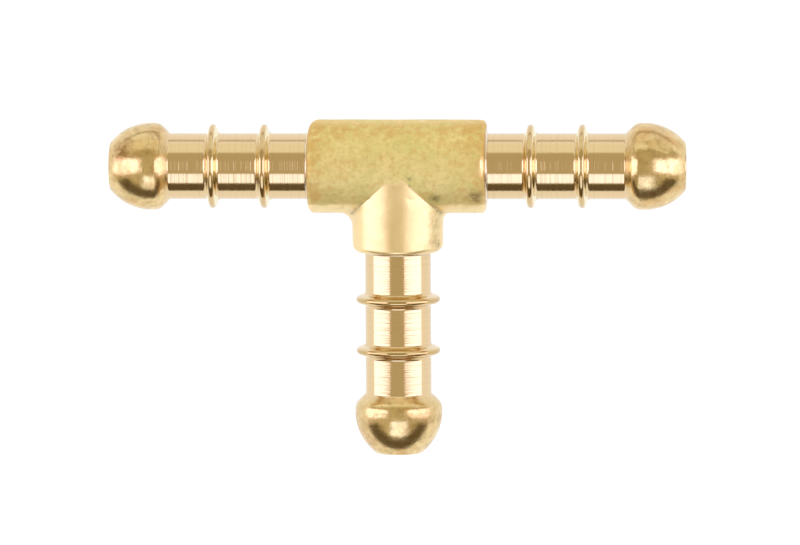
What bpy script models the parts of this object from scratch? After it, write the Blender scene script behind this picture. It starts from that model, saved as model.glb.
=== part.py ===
"""Brass hose tee for 8 mm hose: a hot-stamped body with three turned hose tails brazed into its sockets.

The tee lies flat, as on a bench: its run goes along X, its branch points along -Y, and it rests on z = 0.
The world origin is the middle of its footprint. Each piece is drawn along +Z from the crossing of the three
flow axes, which the empty flow_centre marks, and is then turned into its own arm. Lengths are in metres.
"""

import math

import bpy

# Overall
ARM_REACH = 0.0350
STEM_RADIUS = 0.0040
BORE_RADIUS = 0.0025

# Body
RUN_RADIUS = 0.0057
RUN_HALF_LENGTH = 0.0108
NECK_ROOT_RADIUS = 0.0056
NECK_END_RADIUS = 0.0055
NECK_REACH = 0.0104
BODY_EDGE_ROUND = 0.0008

# Brazed sockets
FIT_GAP = 0.0001
STOP_GAP = 0.0003
SOCKET_RADIUS = STEM_RADIUS + FIT_GAP
SOCKET_FLOOR = 0.0068
MOUTH_CHAMFER = 0.0006
BRAZE_RISE = 0.00015

# Hose tail: the round-nosed bulb at the tip, by distance from the tip
TIP_LAND_RADIUS = 0.00295
TIP_EDGE_DEPTH = 0.00025
BULB_RADIUS = 0.0053
BULB_CREST_START = 0.0050
BULB_CREST_END = 0.00535
BULB_NOSE_CURVE = 0.0063
BULB_BACK_CURVE = 0.0016
BULB_BACK_SLOPE = math.radians(45)

# Hose tail: the two ribs behind the bulb, by distance from the tip
RIB_PLACES = (0.01255, 0.01880)
RIB_RADIUS = 0.0051
RIB_PEAK_CURVE = 0.00035
RIB_SLOPE = math.radians(55)
ROOT_FILLET = 0.0006
TAIL_END_CHAMFER = 0.0003

# Where each arm points: +Z turned to -X, +X and -Y, and how far out the body's face is there
ARM_TURNS = {
    "left": (0.0, -math.pi / 2.0, 0.0),
    "right": (0.0, math.pi / 2.0, 0.0),
    "branch": (math.pi / 2.0, 0.0, 0.0),
}
ARM_FACES = {"left": RUN_HALF_LENGTH, "right": RUN_HALF_LENGTH, "branch": NECK_REACH}

# Facets round a circle and along each kind of arc
TURN_STEPS = 32
NOSE_STEPS = 6
BACK_STEPS = 3
PEAK_STEPS = 4
FILLET_STEPS = 2
EDGE_STEPS = 3
CUTTER_OVERRUN = 0.0010
SCREW_MERGE = 0.000001
BEVEL_ANGLE = math.radians(28)
SHARP_ANGLE = math.radians(35)

# Name, colour and roughness of each metal
FORGED_BRASS = ("forged_brass", (0.62, 0.47, 0.20, 1.0), 0.55)
TURNED_BRASS = ("turned_brass", (0.78, 0.57, 0.27, 1.0), 0.28)
BRAZE_ALLOY = ("braze_alloy", (0.86, 0.72, 0.42, 1.0), 0.35)


# Setting up


def clear_scene():
    for item in list(bpy.data.objects):
        bpy.data.objects.remove(item, do_unlink=True)


def new_collection(name):
    group = bpy.data.collections.new(name)
    bpy.context.scene.collection.children.link(group)
    return group


def metal(name, colour, roughness):
    """A plain metal surface of one colour."""
    surface = bpy.data.materials.new(name)
    surface.use_nodes = True
    shader = surface.node_tree.nodes["Principled BSDF"]
    shader.inputs["Base Color"].default_value = colour
    shader.inputs["Roughness"].default_value = roughness
    shader.inputs["Metallic"].default_value = 1.0
    return surface


def place(item, group, centre, turn):
    """Puts an object in one collection only, on the crossing of the flow axes and turned into its arm."""
    for old_group in list(item.users_collection):
        old_group.objects.unlink(item)
    group.objects.link(item)
    item.parent = centre
    item.rotation_euler = turn


def settled_mesh(item):
    """The mesh that an object's modifiers make, with the object itself taken away."""
    bpy.context.view_layer.update()
    graph = bpy.context.evaluated_depsgraph_get()
    mesh = bpy.data.meshes.new_from_object(item.evaluated_get(graph))
    bpy.data.objects.remove(item, do_unlink=True)
    return mesh


def turned_mesh(name, outline):
    """The mesh of a solid turned about Z from a closed line of (z, r) points that runs down its outside."""
    last = len(outline) - 1
    edges = [(i, i + 1) for i in range(last)] + [(last, 0)]
    profile = bpy.data.meshes.new(name + "_profile")
    profile.from_pydata([(r, 0.0, z) for z, r in outline], edges, [])
    item = bpy.data.objects.new(name, profile)
    bpy.context.scene.collection.objects.link(item)
    screw = item.modifiers.new("Turn", "SCREW")
    screw.steps = TURN_STEPS
    screw.render_steps = TURN_STEPS
    screw.use_merge_vertices = True
    screw.merge_threshold = SCREW_MERGE
    return settled_mesh(item)


def finish(mesh, surface):
    """Smooth shading over the round stretches, sharp edges between them, and the metal."""
    mesh.materials.clear()
    mesh.materials.append(surface)
    mesh.shade_smooth()
    mesh.set_sharp_from_angle(angle=SHARP_ANGLE)


# Half sections, as (z, r) points


def arc(centre, radius, start, end, steps):
    """Points on a circle round centre. Angles run from the +r direction towards +z."""
    points = []
    for step in range(steps + 1):
        angle = start + (end - start) * step / steps
        z = centre[0] + radius * math.sin(angle)
        r = centre[1] + radius * math.cos(angle)
        points.append((z, r))
    return points


def root_fillet(above, slope):
    """The fillet where a flank that falls from above at this slope, towards -z, runs out into the stem."""
    start_r = STEM_RADIUS + ROOT_FILLET * (1.0 - math.cos(slope))
    start_z = above[0] - (above[1] - start_r) / math.tan(slope)
    centre = (start_z - ROOT_FILLET * math.sin(slope), STEM_RADIUS + ROOT_FILLET)
    return arc(centre, ROOT_FILLET, math.pi - slope, math.pi, FILLET_STEPS)


def bulb_outline(tip):
    """The tip's land, the long nose curve, the crest, and the slope back down to the stem."""
    nose_centre = (tip - BULB_CREST_START, BULB_RADIUS - BULB_NOSE_CURVE)
    nose_start = math.asin((BULB_CREST_START - TIP_EDGE_DEPTH) / BULB_NOSE_CURVE)
    back_centre = (tip - BULB_CREST_END, BULB_RADIUS - BULB_BACK_CURVE)
    points = [(tip, TIP_LAND_RADIUS)]
    points += arc(nose_centre, BULB_NOSE_CURVE, nose_start, 0.0, NOSE_STEPS)
    points += arc(back_centre, BULB_BACK_CURVE, 0.0, -BULB_BACK_SLOPE, BACK_STEPS)
    points += root_fillet(points[-1], BULB_BACK_SLOPE)
    return points


def rib_outline(middle):
    """One rib: a rounded peak with a straight flank and a root fillet on each side."""
    peak_centre = (middle, RIB_RADIUS - RIB_PEAK_CURVE)
    peak = arc(peak_centre, RIB_PEAK_CURVE, RIB_SLOPE, -RIB_SLOPE, PEAK_STEPS)
    back = root_fillet(peak[-1], RIB_SLOPE)
    front = [(2.0 * middle - z, r) for z, r in reversed(back)]
    return front + peak + back


def tail_outline():
    """A hose tail, down its outside from the tip, and back up its bore."""
    inner_end = SOCKET_FLOOR + STOP_GAP
    points = bulb_outline(ARM_REACH)
    for rib_place in RIB_PLACES:
        points += rib_outline(ARM_REACH - rib_place)
    points.append((inner_end + TAIL_END_CHAMFER, STEM_RADIUS))
    points.append((inner_end, STEM_RADIUS - TAIL_END_CHAMFER))
    points.append((inner_end, BORE_RADIUS))
    points.append((ARM_REACH, BORE_RADIUS))
    return points


def braze_outline(face):
    """A braze ring: it fills the chamfer of a socket's mouth and creeps a little way up the stem."""
    leg = MOUTH_CHAMFER - FIT_GAP * math.sqrt(2.0)
    return [
        (face + BRAZE_RISE, SOCKET_RADIUS),
        (face, SOCKET_RADIUS + leg),
        (face - leg, SOCKET_RADIUS),
    ]


def port_outline(face):
    """The space of one port down to its bore: a chamfered mouth and a socket with a square floor."""
    return [
        (face + CUTTER_OVERRUN, SOCKET_RADIUS + MOUTH_CHAMFER + CUTTER_OVERRUN),
        (face - MOUTH_CHAMFER, SOCKET_RADIUS),
        (SOCKET_FLOOR, SOCKET_RADIUS),
        (SOCKET_FLOOR, BORE_RADIUS),
    ]


def closed_on_axis(points):
    """The same points with one more on the axis at each end."""
    return [(points[0][0], 0.0)] + points + [(points[-1][0], 0.0)]


# Parts


def make_tails(parts, centre, surface):
    """Three alike hose tails, each with its plain end in a socket."""
    mesh = turned_mesh("hose_tail", tail_outline())
    finish(mesh, surface)
    for arm, turn in ARM_TURNS.items():
        place(bpy.data.objects.new(arm + "_tail", mesh), parts, centre, turn)


def make_braze_rings(parts, centre, surface):
    """The ring of braze alloy round each tail, in the mouth of its socket."""
    for arm, turn in ARM_TURNS.items():
        name = arm + "_braze_ring"
        mesh = turned_mesh(name, braze_outline(ARM_FACES[arm]))
        finish(mesh, surface)
        place(bpy.data.objects.new(name, mesh), parts, centre, turn)


def round_bar(name, start_radius, end_radius, length):
    """A round bar along Z, with its middle on its origin."""
    bpy.ops.mesh.primitive_cone_add(
        vertices=TURN_STEPS, radius1=start_radius, radius2=end_radius, depth=length
    )
    bar = bpy.context.active_object
    bar.name = name
    return bar


def make_guide(item):
    item.hide_render = True
    item.display_type = "WIRE"


def add_boolean(item, other, operation):
    boolean = item.modifiers.new(other.name, "BOOLEAN")
    boolean.operation = operation
    boolean.solver = "EXACT"
    boolean.object = other


def make_body(parts, cutters, centre, surface):
    """The stamped body: a run and a neck in one, rounded at its ends and crotches, then bored on three sides."""
    run_turn = ARM_TURNS["right"]
    branch_turn = ARM_TURNS["branch"]
    run = round_bar("run", RUN_RADIUS, RUN_RADIUS, 2.0 * RUN_HALF_LENGTH)
    place(run, parts, centre, run_turn)
    neck = round_bar("neck", NECK_ROOT_RADIUS, NECK_END_RADIUS, NECK_REACH)
    place(neck, cutters, centre, branch_turn)
    neck.location.y = -NECK_REACH / 2.0
    make_guide(neck)
    add_boolean(run, neck, "UNION")

    rounding = run.modifiers.new("Rounded edges", "BEVEL")
    rounding.width = BODY_EDGE_ROUND
    rounding.segments = EDGE_STEPS
    rounding.limit_method = "ANGLE"
    rounding.angle_limit = BEVEL_ANGLE
    rounding.use_clamp_overlap = False

    right_port = port_outline(RUN_HALF_LENGTH)
    left_port = [(-z, r) for z, r in reversed(right_port)]
    branch_port = port_outline(NECK_REACH) + [(0.0, BORE_RADIUS)]
    port_cutters = (
        ("run_ports", right_port + left_port, run_turn),
        ("branch_port", branch_port, branch_turn),
    )
    for name, outline, turn in port_cutters:
        cutter = bpy.data.objects.new(name, turned_mesh(name, closed_on_axis(outline)))
        place(cutter, cutters, centre, turn)
        make_guide(cutter)
        add_boolean(run, cutter, "DIFFERENCE")

    mesh = settled_mesh(run)
    finish(mesh, surface)
    place(bpy.data.objects.new("tee_body", mesh), parts, centre, run_turn)


def main():
    clear_scene()
    parts = new_collection("hose_tee")
    cutters = new_collection("cutters")
    centre = bpy.data.objects.new("flow_centre", None)
    parts.objects.link(centre)
    centre.location = (0.0, (ARM_REACH - RUN_RADIUS) / 2.0, RUN_RADIUS)

    make_body(parts, cutters, centre, metal(*FORGED_BRASS))
    make_tails(parts, centre, metal(*TURNED_BRASS))
    make_braze_rings(parts, centre, metal(*BRAZE_ALLOY))


main()
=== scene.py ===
import itertools
import math

import bmesh
import bpy
import numpy as np
from mathutils import Matrix, Vector


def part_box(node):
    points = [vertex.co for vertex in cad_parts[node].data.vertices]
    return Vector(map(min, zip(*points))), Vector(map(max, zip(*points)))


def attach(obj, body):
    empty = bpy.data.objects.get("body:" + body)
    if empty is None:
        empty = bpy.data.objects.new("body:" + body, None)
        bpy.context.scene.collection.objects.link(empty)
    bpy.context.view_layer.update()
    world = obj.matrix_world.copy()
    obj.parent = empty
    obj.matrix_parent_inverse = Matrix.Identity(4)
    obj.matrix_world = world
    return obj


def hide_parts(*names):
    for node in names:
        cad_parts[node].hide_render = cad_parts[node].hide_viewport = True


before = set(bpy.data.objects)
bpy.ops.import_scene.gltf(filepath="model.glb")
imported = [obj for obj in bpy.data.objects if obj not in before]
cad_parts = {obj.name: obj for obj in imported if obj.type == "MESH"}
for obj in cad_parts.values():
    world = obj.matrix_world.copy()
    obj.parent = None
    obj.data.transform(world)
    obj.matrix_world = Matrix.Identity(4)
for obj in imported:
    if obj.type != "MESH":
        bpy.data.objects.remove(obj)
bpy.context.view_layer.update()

# The body: one hot-stamped brass forging, a barrel with a short neck, bored and socketed from three sides.
# Its skin is matte and blotchy from the pickling bath, and tumbling has half polished the neck and flanks.
# The three hose tails are brazed into its sockets.

body_low, body_high = (np.array(corner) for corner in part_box("tee_body"))
run_radius = (body_high[2] - body_low[2]) / 2.0
run_half_length = body_high[0]
flow_centre = np.array((0.0, body_high[1] - run_radius, run_radius))
neck_reach = flow_centre[1] - body_low[1]
neck_root_step = 0.00002
neck_end_step = 0.00020
neck_root_radius = run_radius - neck_root_step
neck_end_radius = run_radius - neck_end_step
bore_radius = 0.0025
stem_radius = 0.0040
socket_slack = 0.00004
socket_radius = stem_radius + socket_slack
socket_floor = 0.0068
mouth_chamfer = 0.00025
end_rounds = {"left": 0.00075, "right": 0.00065, "branch": 0.00045}
left_back_round = 0.00055
neck_side_round = 0.00055
crotch_round = {"left": 0.0015, "right": 0.0007}
crease_round = 0.00010

up = np.array((0.0, 0.0, 1.0))
arms = {
    "left": (np.array((-1.0, 0.0, 0.0)), np.array((0.0, 1.0, 0.0)), run_half_length),
    "right": (np.array((1.0, 0.0, 0.0)), np.array((0.0, 1.0, 0.0)), run_half_length),
    "branch": (np.array((0.0, -1.0, 0.0)), np.array((1.0, 0.0, 0.0)), neck_reach),
}


def smooth_noise(points, grain, seed):
    """Noise from -1 to 1: random values on a cubic lattice of that grain, with each coordinate's share of a
    cell s eased as s * s * (3 - 2 * s) and the eight corners mixed by those shares."""
    cells = points / grain
    corner_index = np.floor(cells).astype(int)
    share = cells - corner_index
    share = share * share * (3.0 - 2.0 * share)
    corner_index -= corner_index.reshape(-1, 3).min(axis=0)
    lattice_shape = corner_index.reshape(-1, 3).max(axis=0) + 2
    lattice = np.random.default_rng(seed).uniform(-1.0, 1.0, lattice_shape)
    total = np.zeros(points.shape[:-1])
    for corner in itertools.product((0, 1), repeat=3):
        weight = np.where(corner, share, 1.0 - share).prod(axis=-1)
        x, y, z = np.moveaxis(corner_index + corner, -1, 0)
        total += weight * lattice[x, y, z]
    return total


def rising(distance, width):
    """0 up to a distance of 0, then straight up to 1 over that width."""
    return np.clip(distance / width, 0.0, 1.0)


def band(distance, width):
    """1 at a distance of 0, fading to both sides as exp(-(distance / width)^2)."""
    return np.exp(-((distance / width) ** 2))


def spot(points, centre, size):
    """1 at the centre, fading with the distance from it as band does."""
    return band(np.linalg.norm(points - centre, axis=-1), size)


def all_round(values, around):
    """The values of a profile's rows, repeated for each angle round the axis."""
    return values[:, None] + np.zeros(around)


def arm_points(arm, along, radius, angle):
    """Places an arm's grid: its axis carries the distance along, and the radius turns by angle from straight
    up towards the arm's side direction."""
    axis, side, _ = arms[arm]
    across = np.cos(angle)[..., None] * up + np.sin(angle)[..., None] * side
    return flow_centre + along[..., None] * axis + radius[..., None] * across


def mitre_start(arm, radius, angle):
    """How far out an arm starts, at each angle: radius * |sin(angle)| on the 45 degree planes where it meets
    a neighbour at a right angle, and 0 at the back, where the two halves of the run meet end to end."""
    start = radius * np.abs(np.sin(angle))
    if arm == "branch":
        return start
    return np.where(np.sin(angle) > 0.0, 0.0, start)


def gaps_to_barrel_and_neck(points):
    """Signed distances from the barrel, a plain cylinder, and from the neck, a cylinder that tapers straight
    from its root to its end."""
    x, y, z = np.moveaxis(points - flow_centre, -1, 0)
    along_neck = np.clip(-y / neck_reach, 0.0, 1.0)
    to_run = np.hypot(y, z) - run_radius
    to_neck = np.hypot(x, z) - neck_root_radius + (neck_root_radius - neck_end_radius) * along_neck
    return to_run, to_neck


def body_skin_gap(points):
    """Signed distance from the body's skin: the lesser of the distances to the barrel and to the neck, with
    a fillet where both are under its radius f, as f - sqrt((f - a)^2 + (f - b)^2). The fillet widens from a
    crease on top to a full round in the crotches, as (1 - height)^4."""
    x, y, z = np.moveaxis(points - flow_centre, -1, 0)
    to_run, to_neck = gaps_to_barrel_and_neck(points)
    to_neck = np.where(y > 0.0, run_radius, to_neck)
    height = np.clip(np.abs(z) / run_radius, 0.0, 1.0)
    widest = np.where(x < 0.0, crotch_round["left"], crotch_round["right"])
    fillet = crease_round + widest * (1.0 - height) ** 4
    spare_run = np.maximum(fillet - to_run, 0.0)
    spare_neck = np.maximum(fillet - to_neck, 0.0)
    return np.maximum(fillet, np.minimum(to_run, to_neck)) - np.hypot(spare_run, spare_neck)


def settle_on_skin(points, rounds=5):
    """Moves points down the slope of body_skin_gap until it is 0: p - gap * slope / |slope|^2 each round."""
    reach = 0.000001
    for _ in range(rounds):
        gap = body_skin_gap(points)
        slope = np.stack(
            [(body_skin_gap(points + reach * step) - gap) / reach for step in np.eye(3)], axis=-1
        )
        points = points - gap[..., None] * slope / (slope**2).sum(axis=-1)[..., None]
    return points


def body_arm(arm, around=240, wall_rows=80, round_rows=12, face_rows=4, bore_rows=8, crowding=1.4):
    """One arm of the body, as (points, skin) on a grid of rows by angles. The rows go out along the skin
    from the mitre, closer together near it as share ^ crowding, round the end by a quarter circle, in
    through the chamfered mouth and the socket, and back down the bore to the bore's own mitre. Skin is 1 on
    the stamped surface and 0 inside."""
    axis, _, face = arms[arm]
    angle = np.linspace(0.0, 2.0 * math.pi, around, endpoint=False)
    end_round = np.full(around, end_rounds[arm])
    if arm == "left":
        end_round += left_back_round * np.clip(np.sin(angle), 0.0, 1.0) ** 2
    if arm == "branch":
        end_round += neck_side_round * np.sin(angle) ** 2

    share = np.linspace(0.0, 1.0, wall_rows)[:, None] ** crowding
    start = mitre_start(arm, run_radius, angle)
    wall_along = start + (face - end_round - start) * share
    wall_radius = np.full(wall_along.shape, run_radius)
    wall = settle_on_skin(arm_points(arm, wall_along, wall_radius, angle))

    out_from_axis = wall[-1] - flow_centre
    out_from_axis -= (out_from_axis @ axis)[:, None] * axis
    edge_radius = np.linalg.norm(out_from_axis, axis=-1)
    turn = np.linspace(0.0, math.pi / 2.0, round_rows)[1:, None]
    round_along = face - end_round + end_round * np.sin(turn)
    round_radius = edge_radius - end_round * (1.0 - np.cos(turn))

    mouth_radius = socket_radius + mouth_chamfer
    face_share = np.linspace(0.0, 1.0, face_rows)[1:, None]
    face_radius = round_radius[-1] + (mouth_radius - round_radius[-1]) * face_share
    face_along = np.full(face_radius.shape, face)

    hidden_along = np.array((face - mouth_chamfer, (face + socket_floor) / 2.0, socket_floor, socket_floor))
    hidden_radius = np.array((socket_radius, socket_radius, socket_radius, bore_radius))
    bore_share = np.linspace(0.0, 1.0, bore_rows)[1:, None]
    bore_along = socket_floor + (mitre_start(arm, bore_radius, angle) - socket_floor) * bore_share
    bore_wall = np.full(bore_along.shape, bore_radius)

    along = np.concatenate([round_along, face_along, all_round(hidden_along, around), bore_along])
    radius = np.concatenate([round_radius, face_radius, all_round(hidden_radius, around), bore_wall])
    points = np.concatenate([wall, arm_points(arm, along, radius, angle)])
    skin = np.zeros(points.shape[:2])
    skin[: wall_rows + round_rows] = 1.0
    return points, skin


def grid_faces(rows, columns, first=0, close_rows=False):
    """Quads of a grid whose columns go all the way round. Its last row joins the first if close_rows."""
    row = np.arange(rows if close_rows else rows - 1)[:, None]
    column = np.arange(columns)[None, :]
    next_row = (row + 1) % rows
    next_column = (column + 1) % columns
    corners = (
        row * columns + column,
        next_row * columns + column,
        next_row * columns + next_column,
        row * columns + next_column,
    )
    return first + np.stack(corners, axis=-1).reshape(-1, 4)


def piece_from(name, points, quads, patterns, weld=0.0000005):
    """A closed piece from points and quads, with a value per point for each pattern that its material
    reads: points closer than the weld joined, faces turned outwards, shaded smooth."""
    mesh = bpy.data.meshes.new(name)
    mesh.vertices.add(len(points))
    mesh.vertices.foreach_set("co", points.astype(np.float32).ravel())
    mesh.loops.add(quads.size)
    mesh.loops.foreach_set("vertex_index", quads.astype(np.int32).ravel())
    mesh.polygons.add(len(quads))
    mesh.polygons.foreach_set("loop_start", np.arange(0, quads.size, 4, dtype=np.int32))
    mesh.update(calc_edges=True)
    for pattern, values in patterns.items():
        layer = mesh.attributes.new(pattern, "FLOAT", "POINT")
        layer.data.foreach_set("value", values.astype(np.float32).ravel())
    shell = bmesh.new()
    shell.from_mesh(mesh)
    bmesh.ops.remove_doubles(shell, verts=shell.verts, dist=weld)
    bmesh.ops.recalc_face_normals(shell, faces=shell.faces)
    shell.to_mesh(mesh)
    shell.free()
    mesh.shade_smooth()
    piece = bpy.data.objects.new(name, mesh)
    bpy.context.scene.collection.objects.link(piece)
    return piece


def push_out(piece, relief, mask):
    """Moves each point along its normal by relief(point), times the value of that mask pattern there."""
    mesh = piece.data
    count = len(mesh.vertices)
    places = np.empty(count * 3, np.float32)
    normals = np.empty(count * 3, np.float32)
    share = np.empty(count, np.float32)
    mesh.vertices.foreach_get("co", places)
    mesh.vertices.foreach_get("normal", normals)
    mesh.attributes[mask].data.foreach_get("value", share)
    places = places.reshape(-1, 3).astype(float)
    places += (relief(places) * share)[:, None] * normals.reshape(-1, 3)
    mesh.vertices.foreach_set("co", places.astype(np.float32).ravel())
    mesh.update()


arm_grids = [body_arm(arm) for arm in arms]
body_points = np.concatenate([points.reshape(-1, 3) for points, _ in arm_grids])
body_skin = np.concatenate([skin.ravel() for _, skin in arm_grids])
grid_rows, grid_columns = arm_grids[0][0].shape[:2]
grid_size = grid_rows * grid_columns
body_quads = np.concatenate(
    [grid_faces(grid_rows, grid_columns, first=grid_size * index) for index in range(len(arms))]
)

across, back, above = (body_points - flow_centre).T
to_run, to_neck = gaps_to_barrel_and_neck(body_points)
past_crease = np.where(back < 0.0, to_run - to_neck, -run_radius)
to_run_end = run_half_length - np.abs(across)
to_neck_end = neck_reach + back

# Tumbling has worn the neck and the edges of the flanks, but missed a patch on the neck's right side.
# Each patch is (its place from the flow centre, its size).
crease_blur = 0.00004
neck_polish_start = 0.0004
neck_polish_blend = 0.0020
missed_patches = (((0.00470, -0.0066, 0.0029), 0.0013), ((0.00465, -0.0087, 0.0031), 0.0014))
missed_depth = 1.3
front_flank_start = 0.0038
front_flank_blend = 0.0008
front_flank_wear = 0.75
back_flank_start = 0.0046
back_flank_blend = 0.0009
back_flank_wear = 0.40
worn_end_place = (0.0106, 0.0004, 0.0048)
worn_end_size = 0.0014
worn_end_wear = 0.80

past_crease_share = np.clip(0.5 + past_crease / crease_blur, 0.0, 1.0)
on_neck = past_crease_share * rising(-back - neck_polish_start, neck_polish_blend)
missed = np.maximum(*(spot(body_points, flow_centre + place, size) for place, size in missed_patches))
front_flank = rising(-back - front_flank_start, front_flank_blend)
back_flank = rising(back - back_flank_start, back_flank_blend)
worn_end = spot(body_points, flow_centre + worn_end_place, worn_end_size)
body_polish = on_neck * (1.0 - missed_depth * missed)
body_polish = np.maximum(body_polish, front_flank_wear * front_flank)
body_polish = np.maximum(body_polish, back_flank_wear * back_flank)
body_polish = np.maximum(body_polish, worn_end_wear * worn_end)

# Painted shade darkens the skin low in the crease; grime sits in the missed patch and in a few spots of
# (place, size, amount).
crease_grime_width = 0.00030
crease_grime_top = 0.0042
crease_grime_top_blend = 0.0020
crease_grime_foot = 0.0008
crease_grime_foot_blend = 0.0010
crease_grime = 0.85
missed_grime = 0.40
grime_spots = (
    ((0.0048, -0.0035, 0.0045), 0.0006, 0.8),
    ((0.0097, -0.0033, 0.0046), 0.0008, 0.9),
    ((0.0052, -0.0094, 0.0022), 0.0005, 0.6),
    ((0.00175, -0.0010, 0.0055), 0.00024, 0.9),
    ((0.00172, -0.0019, 0.0053), 0.00020, 0.8),
)
# Painted shade: the crease between barrel and neck is darkened low down.
low_in_crease = rising(crease_grime_top - above, crease_grime_top_blend)
low_in_crease *= rising(above - crease_grime_foot, crease_grime_foot_blend)
body_grime = crease_grime * band(past_crease, crease_grime_width) * low_in_crease
body_grime += missed_grime * missed
for place, size, amount in grime_spots:
    body_grime += amount * spot(body_points, flow_centre + place, size)

# The brazing flame has tanned the barrel's ends and browned the edges, and a thin darker, rougher line runs
# down the top of the neck.
end_tan = 1.5
end_tan_length = 0.0018
back_tan = 0.8
back_tan_start = 0.0030
back_tan_blend = 0.0018
neck_heat = 1.1
neck_heat_length = 0.0011
run_heat = 1.0
run_heat_length = 0.0008
streak_heat = 1.1
streak_place = 0.00100
streak_width = 0.00020
streak_start = 0.0014
streak_blend = 0.0012

body_tan = end_tan * np.exp(-to_run_end / end_tan_length)
body_tan += back_tan * rising(back - back_tan_start, back_tan_blend)
body_heat = neck_heat * np.exp(-to_neck_end / neck_heat_length)
body_heat += run_heat * np.exp(-to_run_end / run_heat_length)
# A thin darker, rougher line down the top of the neck, just right of its middle.
streak = band(across - streak_place, streak_width) * (above > 0.0)
body_heat += streak_heat * streak * rising(-back - streak_start, streak_blend)

# The die has left swells of (grain, height, seed) in the skin, and scale has left pits, a few of them by the
# crease as (place, size, depth).
skin_sink = 0.000022
skin_swells = ((0.0026, 0.000018, 11), (0.0011, 0.000009, 12), (0.00045, 0.000004, 13))
pit_count = 60
pit_size_range = (0.00014, 0.00034)
pit_depth_range = (0.000008, 0.000030)
crease_pits = (
    ((0.00170, -0.0010, 0.0055), 0.00022, 0.000060),
    ((0.00180, -0.0018, 0.0053), 0.00026, 0.000055),
)
random_pits = np.random.default_rng(21)
outer_points = body_points[body_skin > 0.5]
pit_centres = outer_points[random_pits.integers(0, len(outer_points), pit_count)]
pit_sizes = random_pits.uniform(*pit_size_range, pit_count)
pit_depths = random_pits.uniform(*pit_depth_range, pit_count)
pits = list(zip(pit_centres, pit_sizes, pit_depths))
pits += [(flow_centre + place, size, depth) for place, size, depth in crease_pits]


def stamped_relief(points):
    """Height of the forged skin: smooth noise of each swell's grain times its height, less the sink that
    keeps it all inside the plain shape, less depth * exp(-(distance / size)^2) round each pit."""
    height = np.full(len(points), -skin_sink)
    for grain, swell, seed in skin_swells:
        height += swell * smooth_noise(points, grain, seed)
    for centre, size, depth in pits:
        height -= depth * spot(points, centre, size)
    return height


body_patterns = {
    "skin": body_skin,
    "polish": body_polish,
    "grime": body_grime,
    "tan": body_tan,
    "heat": body_heat,
}
body = piece_from("body", body_points, body_quads, body_patterns)
push_out(body, stamped_relief, "skin")
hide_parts("tee_body")
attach(body, "root")


def new_surface(name):
    """A material and its shader, all metal."""
    surface = bpy.data.materials.new(name)
    surface.use_nodes = True
    shader = surface.node_tree.nodes["Principled BSDF"]
    shader.inputs["Metallic"].default_value = 1.0
    return surface, shader


def connect(surface, source, target):
    """Runs a link from an output to an input, or sets the input to a plain value."""
    if isinstance(source, bpy.types.NodeSocket):
        surface.node_tree.links.new(source, target)
    else:
        target.default_value = source


def pattern_of(surface, name):
    """The value that the piece's mesh holds at each point under that name."""
    node = surface.node_tree.nodes.new("ShaderNodeAttribute")
    node.attribute_name = name
    return node.outputs["Fac"]


def grain_of(surface, cell, detail=3.0, breakup=0.55, offset=0.0, warp=0.0):
    """Noise from 0 to 1 fixed to the object, with cells of that size in metres."""
    tree = surface.node_tree
    place = tree.nodes.new("ShaderNodeTexCoord").outputs["Object"]
    shift = tree.nodes.new("ShaderNodeMapping")
    shift.inputs["Location"].default_value = (offset, -offset, 2.0 * offset)
    tree.links.new(place, shift.inputs["Vector"])
    noise = tree.nodes.new("ShaderNodeTexNoise")
    noise.inputs["Scale"].default_value = 1.0 / cell
    noise.inputs["Detail"].default_value = detail
    noise.inputs["Roughness"].default_value = breakup
    noise.inputs["Distortion"].default_value = warp
    tree.links.new(shift.outputs["Vector"], noise.inputs["Vector"])
    return noise.outputs["Fac"]


def rescaled(surface, value, span, reach=(0.0, 1.0)):
    """The value moved straight from the two ends of the span to those of the reach, and held inside it."""
    node = surface.node_tree.nodes.new("ShaderNodeMapRange")
    for socket, setting in zip(node.inputs, (value, *span, *reach)):
        connect(surface, setting, socket)
    return node.outputs["Result"]


def between(surface, share, first, second):
    """A value that goes straight from first to second as the share goes from 0 to 1."""
    return rescaled(surface, share, span=(0.0, 1.0), reach=(first, second))


def worked(surface, operation, first, second):
    """Arithmetic on two values, held between 0 and 1."""
    node = surface.node_tree.nodes.new("ShaderNodeMath")
    node.operation = operation
    node.use_clamp = True
    connect(surface, first, node.inputs[0])
    connect(surface, second, node.inputs[1])
    return node.outputs["Value"]


def product(surface, first, second):
    """One value times another, held between 0 and 1."""
    return worked(surface, "MULTIPLY", first, second)


def blended(surface, share, first, second):
    """Colour first where the share is 0 and second where it is 1."""
    node = surface.node_tree.nodes.new("ShaderNodeMix")
    node.data_type = "RGBA"
    for name, source in (("Factor_Float", share), ("A_Color", first), ("B_Color", second)):
        socket = next(item for item in node.inputs if item.identifier == name)
        connect(surface, source, socket)
    return next(item for item in node.outputs if item.identifier == "Result_Color")


def relief_on(surface, height, depth, below=None):
    """A bump of that depth in metres, on top of the one below it."""
    node = surface.node_tree.nodes.new("ShaderNodeBump")
    node.inputs["Distance"].default_value = depth
    connect(surface, height, node.inputs["Height"])
    if below is not None:
        connect(surface, below, node.inputs["Normal"])
    return node.outputs["Normal"]


stamped, shader = new_surface("stamped brass")
pickled_yellow = (0.83, 0.680, 0.270, 1.0)
pickled_green = (0.73, 0.625, 0.217, 1.0)
edge_tan = (0.71, 0.46, 0.130, 1.0)
# Dark brown of the grime, also painted as shade low in the crease.
scale_brown = (0.17, 0.115, 0.042, 1.0)
fleck_brown = (0.50, 0.33, 0.098, 1.0)
tumbled_yellow = (0.93, 0.715, 0.36, 1.0)
heat_brown = (0.52, 0.33, 0.135, 1.0)
cut_yellow = (0.76, 0.555, 0.30, 1.0)
noise_span = (0.3, 0.7)
pickled_metal = 0.45
tumbled_metal = 0.92
cut_metal = 1.0
cut_roughness = 0.22
patch_depth = 0.00004
fleck_depth = 0.000018

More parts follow.
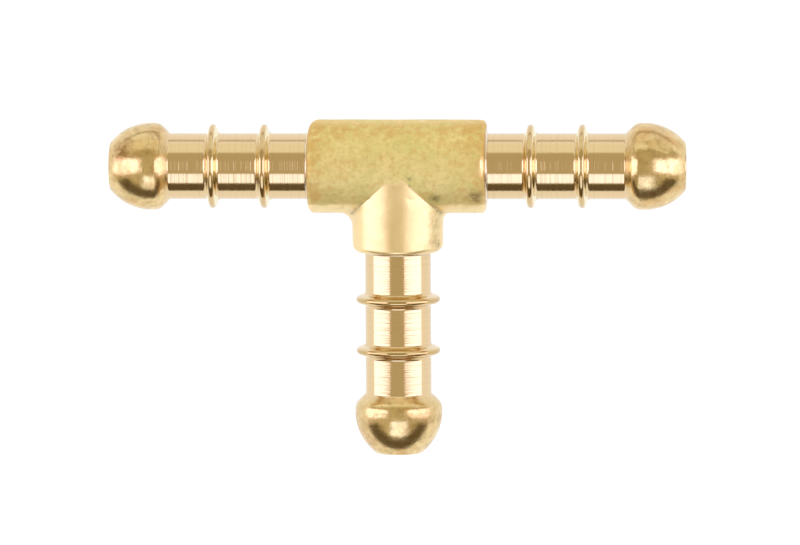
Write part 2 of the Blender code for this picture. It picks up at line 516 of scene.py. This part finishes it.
blotches = grain_of(stamped, cell=0.0024, detail=5.0, breakup=0.62, warp=0.5)
patches = grain_of(stamped, cell=0.0010, detail=3.0, breakup=0.6, offset=0.31, warp=0.3)
flecks = grain_of(stamped, cell=0.00050, detail=4.0, breakup=0.7, offset=0.57, warp=0.15)
skin = pattern_of(stamped, "skin")
raggedness = rescaled(stamped, patches, span=noise_span, reach=(-0.22, 0.22))
ragged_polish = worked(stamped, "ADD", pattern_of(stamped, "polish"), raggedness)
polished = rescaled(stamped, ragged_polish, span=(0.30, 0.70))
matte_share = between(stamped, polished, 1.0, 0.25)

yellow_share = rescaled(stamped, blotches, span=(0.38, 0.62))
patch_share = rescaled(stamped, patches, span=(0.50, 0.66), reach=(0.0, 0.42))
ragged_tan = rescaled(stamped, patches, span=(0.35, 0.62), reach=(0.15, 1.0))
tan_share = product(stamped, pattern_of(stamped, "tan"), ragged_tan)
ragged_fleck = rescaled(stamped, flecks, span=(0.48, 0.74), reach=(0.0, 0.42))
fleck_share = product(stamped, ragged_fleck, matte_share)
ragged_heat = rescaled(stamped, blotches, span=(0.35, 0.6), reach=(0.3, 1.0))
heat_share = product(stamped, pattern_of(stamped, "heat"), ragged_heat)
# This pattern holds real grime and the painted shade in the crease.
ragged_grime = rescaled(stamped, flecks, span=(0.38, 0.58), reach=(0.35, 1.0))
grime_share = product(stamped, pattern_of(stamped, "grime"), ragged_grime)

colour = blended(stamped, yellow_share, pickled_green, pickled_yellow)
colour = blended(stamped, patch_share, colour, edge_tan)
colour = blended(stamped, tan_share, colour, edge_tan)
colour = blended(stamped, polished, colour, tumbled_yellow)
colour = blended(stamped, fleck_share, colour, fleck_brown)
colour = blended(stamped, heat_share, colour, heat_brown)
colour = blended(stamped, grime_share, colour, scale_brown)
colour = blended(stamped, skin, cut_yellow, colour)
connect(stamped, colour, shader.inputs["Base Color"])

skin_metal = between(stamped, polished, pickled_metal, tumbled_metal)
connect(stamped, between(stamped, skin, cut_metal, skin_metal), shader.inputs["Metallic"])
matte_roughness = rescaled(stamped, patches, span=noise_span, reach=(0.50, 0.62))
worn_roughness = rescaled(stamped, blotches, span=noise_span, reach=(0.29, 0.39))
heat_roughness = between(stamped, pattern_of(stamped, "heat"), 0.0, 0.42)
gloss_roughness = worked(stamped, "ADD", worn_roughness, heat_roughness)
skin_roughness = between(stamped, polished, matte_roughness, gloss_roughness)
connect(stamped, between(stamped, skin, cut_roughness, skin_roughness), shader.inputs["Roughness"])
patch_relief = relief_on(stamped, product(stamped, patches, matte_share), patch_depth)
fleck_relief = relief_on(stamped, product(stamped, flecks, matte_share), fleck_depth, patch_relief)
connect(stamped, fleck_relief, shader.inputs["Normal"])
body.data.materials.append(stamped)

# The hose tails: three alike, turned from brass bar, each with a long-nosed bulb and two ribs that hold the
# hose. They are bored right through, pushed into the body's sockets and brazed. The tool has left fine
# lines round the stems, and the bulbs are tarnished and slightly dented from handling.

tail_low, tail_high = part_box("right_tail")
tip_reach = tail_high[0]
bulb_radius = (tail_high[2] - tail_low[2]) / 2.0
socket_floor_gap = 0.0003
tail_length = tip_reach - socket_floor - socket_floor_gap
rib_radius = 0.0051
rib_places = (0.01255, 0.01880)
rib_peak_round = 0.00045
rib_slope = math.radians(70.0)
rib_fillet = 0.00040
bulb_fillet = 0.00020
nose_round = 0.0063
tip_round = 0.00030
crest_start = 0.0050
crest_end = 0.00535
back_round = 0.0016
back_slope = math.radians(45.0)
bore_break = 0.0001


def arc_points(centre, radius, start, end, steps):
    """Points of an arc: centre + radius * (sin(angle), cos(angle)), from the start angle to the end one."""
    angle = np.linspace(start, end, steps)
    return np.stack([centre[0] + radius * np.sin(angle), centre[1] + radius * np.cos(angle)], axis=-1)


def foot_of(point, slope, fillet, side):
    """A concave arc of that fillet radius, which leaves a straight flank at that slope and lands level on
    the stem, on the left (-1) or right (+1) of the rib or bulb."""
    leave_radius = stem_radius + fillet * (1.0 - math.cos(slope))
    leave_place = point[0] + side * (point[1] - leave_radius) / math.tan(slope)
    centre = (leave_place + side * fillet * math.sin(slope), stem_radius + fillet)
    foot = arc_points(centre, fillet, math.pi + side * slope, math.pi, steps=12)
    return foot[::side]


def tail_outline(spacing=0.00005):
    """The outer profile as rows of (distance from the tip, radius): the rounded tip edge, which touches the
    nose arc from inside, the nose arc, the crest, the back arc, the two ribs with their feet, and the plain
    stem, resampled to even steps along the curve."""
    nose_angle = -math.asin((crest_start - tip_round) / (nose_round - tip_round))
    nose = arc_points((crest_start, bulb_radius - nose_round), nose_round, nose_angle, 0.0, steps=60)
    tip_centre = (tip_round, bulb_radius - nose_round + (nose_round - tip_round) * math.cos(nose_angle))
    tip_edge = arc_points(tip_centre, tip_round, -math.pi / 2.0, nose_angle, steps=10)
    bulb_back = arc_points((crest_end, bulb_radius - back_round), back_round, 0.0, back_slope, steps=20)
    runs = [tip_edge, nose, bulb_back, foot_of(bulb_back[-1], back_slope, bulb_fillet, 1)]
    for place in rib_places:
        peak_centre = (place, rib_radius - rib_peak_round)
        peak = arc_points(peak_centre, rib_peak_round, -rib_slope, rib_slope, steps=24)
        left_foot = foot_of(peak[0], rib_slope, rib_fillet, -1)
        right_foot = foot_of(peak[-1], rib_slope, rib_fillet, 1)
        runs += [left_foot, peak, right_foot]
    runs.append(np.array(((tail_length, stem_radius),)))
    outline = np.concatenate(runs)
    travel = np.concatenate([[0.0], np.cumsum(np.hypot(*np.diff(outline, axis=0).T))])
    even = np.linspace(0.0, travel[-1], int(travel[-1] / spacing))
    return np.stack([np.interp(even, travel, column) for column in outline.T], axis=-1)


tool_feed = 0.00030
feed_swell = 0.8
feed_swell_grain = 0.0013
feed_wander = 0.6
feed_wander_grain = 0.0009


def tool_lines(from_tip, depth, seed):
    """Lines left by the turning tool: depth * sin(2 pi * distance / feed), where smooth noise along the tail
    makes them deeper and shallower by turns and lets them wander from even steps."""
    station = np.stack([from_tip, np.zeros_like(from_tip), np.zeros_like(from_tip)], axis=-1)
    swell = 1.0 + feed_swell * smooth_noise(station, feed_swell_grain, seed)
    wander = feed_wander * smooth_noise(station, feed_wander_grain, seed + 1)
    return swell * np.sin(2.0 * math.pi * from_tip / tool_feed + wander) * depth


# Where the stretches of a tail start and end, by distance from the tip, and how soon each fades out.
bulb_end = 0.0072
inner_start = 0.0198
zone_blend = 0.0006
lines_lost_on_bulb = 0.85
# The flank band is painted highlight on the ribs' sides; the crest band is painted shade on their tops.
flank_middle = 0.00052
flank_blend = 0.00010
flank_fullness = 2.2
crest_blend = 0.00025
crest_fullness = 1.3

# The bar's waves and the bulb's dents are smooth noise of (grain, height), and the dents only go inwards.
bar_waves = (0.0042, 0.000004)
large_dents = (0.0031, 0.000035)
small_dents = (0.0013, 0.000012)
dent_free_tip = 0.0012


def hose_tail(arm, seed, tool_depth, inner_depth, scoring, crest, flank, around=128):
    """One tail, as (points, patterns): its profile carried round the arm's axis, with the tool's lines, the
    slight waves of a slender bar and the bulb's dents added to the radius, and the bore closing the ring.
    The patterns are travel, the distance from the tip; bulb, 1 on the bulb; the crest pattern, painted shade
    on the ribs' tops, and the flank pattern, painted highlight on their sides, each as strong as it is
    given;
    and scored, how deep the finest lines are."""
    outline = tail_outline()
    from_tip = outline[:, 0]
    on_bulb = rising(bulb_end - from_tip, zone_blend)
    inner_section = rising(from_tip - inner_start, zone_blend)
    depth = tool_depth + (inner_depth - tool_depth) * inner_section
    lines = tool_lines(from_tip, depth, seed) * (1.0 - lines_lost_on_bulb * on_bulb)
    to_rib = np.min(np.abs(from_tip[:, None] - np.array(rib_places)), axis=1)
    on_flank = np.clip(flank_fullness - np.abs(to_rib - flank_middle) / flank_blend, 0.0, 1.0)
    on_crest = np.clip(crest_fullness - to_rib / crest_blend, 0.0, 1.0)

    angle = np.linspace(0.0, 2.0 * math.pi, around, endpoint=False)
    place = all_round(from_tip, around)
    radius = all_round(outline[:, 1] + lines, around)
    points = arm_points(arm, tip_reach - place, radius, angle)
    waves, dents, fine_dents = (
        height * smooth_noise(points, grain, seed + step)
        for step, (grain, height) in enumerate((bar_waves, large_dents, small_dents), start=2)
    )
    dents = np.minimum(dents + fine_dents, 0.0)
    radius += waves + dents * on_bulb[:, None] * rising(place, dent_free_tip)

    bore_places = np.concatenate([np.linspace(tail_length, bore_break, 10), [0.0]])
    bore_radii = np.full(len(bore_places), bore_radius)
    bore_radii[-1] += bore_break
    place = np.concatenate([place, all_round(bore_places, around)])
    radius = np.concatenate([radius, all_round(bore_radii, around)])
    points = arm_points(arm, tip_reach - place, radius, angle)
    inside = np.zeros(len(bore_places))
    patterns = {"travel": place}
    for name, values in (("bulb", on_bulb), ("flank", flank * on_flank), ("crest", crest * on_crest)):
        patterns[name] = all_round(np.concatenate([values, inside]), around)
    patterns["scored"] = np.full(place.shape, scoring)
    return points, patterns


def tail_place(arm, from_tip, angle, radius):
    """A point on a tail's surface, that far from the tip and turned by angle from straight up."""
    return arm_points(arm, np.array(tip_reach - from_tip), np.array(radius), np.array(angle))


def line_grain(surface, along, cell, detail):
    """Noise from 0 to 1 that changes only along the arm, so that it draws rings, with cells of that size."""
    noise = surface.node_tree.nodes.new("ShaderNodeTexNoise")
    noise.noise_dimensions = "1D"
    noise.inputs["Scale"].default_value = 1.0 / cell
    noise.inputs["Detail"].default_value = detail
    surface.node_tree.links.new(along, noise.inputs["W"])
    return noise.outputs["Fac"]


turned, shader = new_surface("turned brass")
bright_brass = (0.76, 0.557, 0.312, 1.0)
# Pale brass painted on the ribs' flanks as a highlight.
burnished_brass = (0.90, 0.79, 0.50, 1.0)
gold_brass = (0.82, 0.61, 0.295, 1.0)
# Dull brass: real dulling on the stems' lines and the bulb, and painted shade on the ribs' crests.
dull_brass = (0.58, 0.40, 0.170, 1.0)
tarnish_pink = (0.45, 0.24, 0.095, 1.0)
tarnish_dark = (0.24, 0.16, 0.072, 1.0)
tarnish_orange = (0.67, 0.40, 0.150, 1.0)
# How strongly the ribs' crests are darkened as painted shade.
crest_dulling = 0.60
lines_left_on_bulb = 0.15
line_bump = 0.0000145
bulb_bump = 0.000020

travel = pattern_of(turned, "travel")
bulb_share = pattern_of(turned, "bulb")
line_share = between(turned, bulb_share, 1.0, lines_left_on_bulb)
stem_share = product(turned, pattern_of(turned, "scored"), line_share)
fine_lines = line_grain(turned, travel, cell=0.00006, detail=2.0)
broad_lines = line_grain(turned, travel, cell=0.00045, detail=3.0)
mottle = grain_of(turned, cell=0.0017, detail=5.0, breakup=0.62, warp=0.5)
broad_mottle = grain_of(turned, cell=0.0026, detail=4.0, breakup=0.6, offset=0.77, warp=0.4)
fine_mottle = grain_of(turned, cell=0.00060, detail=4.0, breakup=0.62, offset=0.43)

dull_lines = rescaled(turned, broad_lines, span=(0.50, 0.75), reach=(0.0, 0.20))
crest_share = product(turned, pattern_of(turned, "crest"), crest_dulling)
dull_mottle = rescaled(turned, mottle, span=(0.42, 0.66), reach=(0.0, 0.9))
dull_share = product(turned, bulb_share, dull_mottle)
ragged_stain = rescaled(turned, fine_mottle, span=(0.34, 0.58), reach=(0.35, 1.0))
stain_share = product(turned, pattern_of(turned, "stain"), ragged_stain)
rusty_mottle = rescaled(turned, broad_mottle, span=(0.50, 0.68), reach=(0.0, 0.75))
rusty_share = product(turned, bulb_share, rusty_mottle)
fine_specks = rescaled(turned, fine_mottle, span=(0.55, 0.72), reach=(0.0, 0.40))
speck_share = product(turned, bulb_share, fine_specks)

colour = blended(turned, dull_lines, bright_brass, dull_brass)
# Painted highlight on the ribs' flanks, then painted shade on their crests.
colour = blended(turned, pattern_of(turned, "flank"), colour, burnished_brass)
colour = blended(turned, crest_share, colour, dull_brass)
colour = blended(turned, bulb_share, colour, gold_brass)
colour = blended(turned, dull_share, colour, dull_brass)
colour = blended(turned, stain_share, colour, tarnish_pink)
colour = blended(turned, rusty_share, colour, tarnish_orange)
colour = blended(turned, speck_share, colour, tarnish_dark)
connect(turned, colour, shader.inputs["Base Color"])

stem_roughness = rescaled(turned, broad_lines, span=noise_span, reach=(0.08, 0.15))
mottle_roughness = rescaled(turned, mottle, span=(0.35, 0.65), reach=(0.03, 0.14))
bulb_roughness = product(turned, bulb_share, mottle_roughness)
roughness = worked(turned, "ADD", stem_roughness, bulb_roughness)
connect(turned, roughness, shader.inputs["Roughness"])
broad_depth = rescaled(turned, broad_lines, span=(0.35, 0.65), reach=(0.35, 1.0))
line_height = product(turned, fine_lines, product(turned, broad_depth, stem_share))
line_relief = relief_on(turned, line_height, line_bump)
bulb_relief = relief_on(turned, product(turned, bulb_share, fine_mottle), bulb_bump, line_relief)
connect(turned, bulb_relief, shader.inputs["Normal"])

# How each tail came off the lathe, how strong its painted shade on the rib crests and painted highlight on
# the rib flanks are, and its tarnish spots of (distance from the tip, angle, radius, size, amount).
tail_finish = {
    "left": dict(seed=31, tool_depth=1.0e-6, inner_depth=4.5e-6, scoring=1.0, crest=1.0, flank=1.0),
    "right": dict(seed=41, tool_depth=1.0e-6, inner_depth=1.8e-6, scoring=1.0, crest=1.0, flank=1.0),
    "branch": dict(seed=51, tool_depth=0.8e-6, inner_depth=1.0e-6, scoring=0.35, crest=1.6, flank=0.25),
}
tarnish_spots = {
    "left": ((0.0018, 0.50, 0.0042, 0.0016, 1.1), (0.0060, 0.9, 0.0052, 0.0013, 0.6)),
    "right": ((0.0042, 1.0, 0.0052, 0.0028, 0.45), (0.0058, -0.2, 0.0052, 0.0009, 0.4)),
    "branch": ((0.0020, -0.9, 0.0044, 0.0012, 0.6), (0.0045, 0.8, 0.0052, 0.0010, 0.5)),
}
for arm, finish in tail_finish.items():
    points, patterns = hose_tail(arm, **finish)
    patterns["stain"] = sum(
        amount * spot(points, tail_place(arm, from_tip, angle, radius), size)
        for from_tip, angle, radius, size, amount in tarnish_spots[arm]
    )
    quads = grid_faces(*points.shape[:2], close_rows=True)
    tail = piece_from(arm + "_hose_tail", points.reshape(-1, 3), quads, patterns)
    tail.data.materials.append(turned)
    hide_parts(arm + "_tail")
    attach(tail, "root")

# The braze rings: silver-bearing filler that ran into each socket's mouth and froze there as a thin, uneven
# fillet between the body's face and the stem. It is paler and brighter than the brass round it, with a
# brown heat stain along its edge.

braze_reach = 0.00034
braze_rise = 0.00024
braze_root = 0.00020
braze_lift = 0.00001
braze_bite = 0.00004
reach_wander = (0.0011, 0.14)
rise_wander = (0.0014, 0.25)


def braze_fillet(arm, seed, around=192):
    """One ring, as (points, edge): a concave curve whose reach over the face goes as (1 - t)^2 and whose
    rise up the stem goes as t^2, both wavering round the joint by noise of (grain, share), closed through
    the socket's mouth. Edge is 1 along the two thin edges and 0 in the middle."""
    angle = np.linspace(0.0, 2.0 * math.pi, around, endpoint=False)
    circle = arm_points(arm, np.zeros(around), np.full(around, stem_radius), angle)
    reach = braze_reach * (1.0 + reach_wander[1] * smooth_noise(circle, reach_wander[0], seed))
    rise = braze_rise * (1.0 + rise_wander[1] * smooth_noise(circle, rise_wander[0], seed + 1))
    t = np.linspace(0.0, 1.0, 14)[:, None]
    radius = stem_radius + reach * (1.0 - t) ** 2
    along = braze_lift + rise * t**2
    close_radius = np.stack([np.full(around, stem_radius - braze_bite)] * 2 + [stem_radius + 0.5 * reach])
    close_along = np.stack([rise, np.full(around, -braze_root), np.full(around, -braze_root)])
    radius = np.concatenate([radius, close_radius])
    along = np.concatenate([along, close_along]) + arms[arm][2]
    edge = np.ones(radius.shape)
    edge[: len(t)] = np.abs(2.0 * t - 1.0) ** 3
    return arm_points(arm, along, radius, angle), edge


braze, shader = new_surface("braze filler")
filler_bright = (0.88, 0.74, 0.55, 1.0)
filler_stain = (0.40, 0.25, 0.12, 1.0)
bead_depth = 0.00003
beads = grain_of(braze, cell=0.0006, detail=3.0, breakup=0.6)
fine_beads = grain_of(braze, cell=0.0002, detail=2.0, offset=0.7)
ragged_edge = rescaled(braze, beads, span=(0.35, 0.6), reach=(0.2, 1.0))
stained = product(braze, pattern_of(braze, "edge"), ragged_edge)
bead_roughness = rescaled(braze, fine_beads, span=noise_span, reach=(0.14, 0.34))
connect(braze, blended(braze, stained, filler_bright, filler_stain), shader.inputs["Base Color"])
connect(braze, bead_roughness, shader.inputs["Roughness"])
connect(braze, relief_on(braze, beads, bead_depth), shader.inputs["Normal"])

for arm, seed in {"left": 61, "right": 71, "branch": 81}.items():
    points, edge = braze_fillet(arm, seed)
    quads = grid_faces(*points.shape[:2], close_rows=True)
    ring = piece_from(arm + "_braze_fillet", points.reshape(-1, 3), quads, {"edge": edge})
    ring.data.materials.append(braze)
    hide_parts(arm + "_braze_ring")
    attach(ring, "root")

# The camera and the studio: the tee lies on a white board that glows, as over a light table, and the camera
# looks almost straight down on it with a long lens. Two tall soft boxes stand at its sides and one in
# front, over a dark card, the board curves up behind it, and the room above is dim and warm.

camera_tilt = math.radians(6.3)
camera_lean = math.radians(3.5)
camera_roll = math.radians(0.30)
camera_distance = 0.95
view_width = 0.09728
sensor_width = 36.0
aim_offset = (0.00023, -0.01298, 0.0)
look = Vector((math.tan(camera_lean), math.tan(camera_tilt), 1.0)).normalized()
level_up = (Vector((0.0, 1.0, 0.0)) - look * look.y).normalized()
level_right = level_up.cross(look)
view_up = level_up * math.cos(camera_roll) + level_right * math.sin(camera_roll)
view_right = view_up.cross(look)
aim = Vector(flow_centre) + Vector(aim_offset)

camera_data = bpy.data.cameras.new("camera")
camera_data.sensor_width = sensor_width
camera_data.lens = sensor_width * camera_distance / view_width
camera_data.clip_start = 0.01
camera_data.clip_end = 10.0
camera = bpy.data.objects.new("camera", camera_data)
bpy.context.scene.collection.objects.link(camera)
camera.matrix_world = Matrix((view_right, view_up, look)).transposed().to_4x4()
camera.location = aim + look * camera_distance
bpy.context.scene.camera = camera

dim_warm_light = (0.60, 0.535, 0.352, 1.0)
world = bpy.data.worlds.new("dim warm room")
world.use_nodes = True
world.node_tree.nodes["Background"].inputs["Color"].default_value = dim_warm_light
bpy.context.scene.world = world


def plain_surface(name, colour, glow, glow_colour=(1.0, 1.0, 1.0), roughness=0.9):
    """A matte board of one colour, with that much glow of its own."""
    surface = bpy.data.materials.new(name)
    surface.use_nodes = True
    shader = surface.node_tree.nodes["Principled BSDF"]
    shader.inputs["Base Color"].default_value = (*colour, 1.0)
    shader.inputs["Roughness"].default_value = roughness
    shader.inputs["Specular IOR Level"].default_value = 0.0
    shader.inputs["Emission Color"].default_value = (*glow_colour, 1.0)
    shader.inputs["Emission Strength"].default_value = glow
    return surface


def board_from(name, corners, surface):
    """A flat or curved board from a grid of corners, rows by columns."""
    rows, columns = corners.shape[:2]
    index = np.arange(rows * columns).reshape(rows, columns)
    quads = np.stack([index[:-1, :-1], index[:-1, 1:], index[1:, 1:], index[1:, :-1]], axis=-1)
    mesh = bpy.data.meshes.new(name)
    mesh.from_pydata(corners.reshape(-1, 3).tolist(), [], quads.reshape(-1, 4).tolist())
    mesh.materials.append(surface)
    board = bpy.data.objects.new(name, mesh)
    bpy.context.scene.collection.objects.link(board)
    return board


def level_board(x_ends, y_ends, height):
    """The four corners of a level rectangle, as a grid of two rows by two columns."""
    return np.stack([*np.meshgrid(x_ends, y_ends), np.full((2, 2), height)], axis=-1)


floor_ends = (-2.0, 2.0)
white_board = plain_surface("white board", (0.25, 0.25, 0.25), glow=0.84, glow_colour=(1.0, 1.045, 1.075))
board_from("floor", level_board(floor_ends, floor_ends, 0.0), white_board)

# A dark card stands in a curve in front of the tee and gives its metal something dark to mirror.
card_distance = 0.38
card_rise = math.radians(32.0)
card_half_turn = 66.0
card_height = card_distance * math.tan(card_rise)
card_turn = np.radians(np.linspace(-card_half_turn, card_half_turn, 24))
card_rim = np.stack([card_distance * np.sin(card_turn), -card_distance * np.cos(card_turn)], axis=-1)
card_corners = np.zeros((2, len(card_turn), 3))
card_corners[:, :, :2] = card_rim
card_corners[1, :, 2] = card_height
card_surface = plain_surface("dark card", (0.135, 0.105, 0.055), glow=0.0)
dark_card = board_from("dark card", card_corners, card_surface)
dark_card.visible_camera = False

# A dull strip lies behind the tee, hidden from the camera, from shadows and from diffuse light: a painted
# reflection that puts a thin dark line in the polished brass.
seam_ends = (-0.060, 0.060)
seam_near = flow_centre[1] + 0.0235
seam_far = flow_centre[1] + 0.0365
seam_height = 0.0001
seam_corners = level_board(seam_ends, (seam_near, seam_far), seam_height)
seam_surface = plain_surface("painted reflection strip", (0.3, 0.25, 0.16), glow=0.25)
board_seam = board_from("painted reflection strip", seam_corners, seam_surface)
board_seam.visible_camera = False
board_seam.visible_shadow = False
board_seam.visible_diffuse = False


def soft_box(name, side, near, far, half_width, distance, radiance, colour):
    """A flat light that faces the tee. Its edges stand near and far degrees from the camera's axis towards
    the side, it is half_width degrees wide to either hand, and its power is radiance * pi * its area."""
    side = (Vector(side) - look * look.dot(Vector(side))).normalized()
    middle = math.radians((near + far) / 2.0)
    towards = look * math.cos(middle) + side * math.sin(middle)
    light = bpy.data.lights.new(name, "AREA")
    light.shape = "RECTANGLE"
    light.size = 2.0 * distance * math.tan(math.radians(half_width))
    light.size_y = 2.0 * distance * math.tan(math.radians((far - near) / 2.0))
    light.energy = radiance * math.pi * light.size * light.size_y
    light.color = colour
    lamp = bpy.data.objects.new(name, light)
    width_way = side.cross(look).normalized()
    lamp.matrix_world = Matrix((width_way, towards.cross(width_way), towards)).transposed().to_4x4()
    lamp.location = Vector(flow_centre) + towards * distance
    lamp.visible_camera = False
    bpy.context.scene.collection.objects.link(lamp)


daylight = (0.80, 0.79, 1.18)
paper_light = (0.65, 0.79, 1.22)
board_light = (0.90, 1.08, 1.24)
boxes = {
    "left soft box": dict(side=(-1, 0, 0), near=30, far=100, half_width=17, distance=0.40, radiance=2.0),
    "right soft box": dict(side=(1, 0, 0), near=22, far=92, half_width=17, distance=0.40, radiance=2.0),
    "front soft box": dict(side=(0, -1, 0), near=28, far=62, half_width=20, distance=0.45, radiance=1.5),
    "rising board": dict(side=(0, 1, 0), near=48, far=84, half_width=50, distance=0.50, radiance=0.50),
}
for (name, setting), colour in zip(boxes.items(), (daylight, daylight, paper_light, board_light)):
    soft_box(name, colour=colour, **setting)
bpy.context.scene.view_settings.view_transform = "Standard"
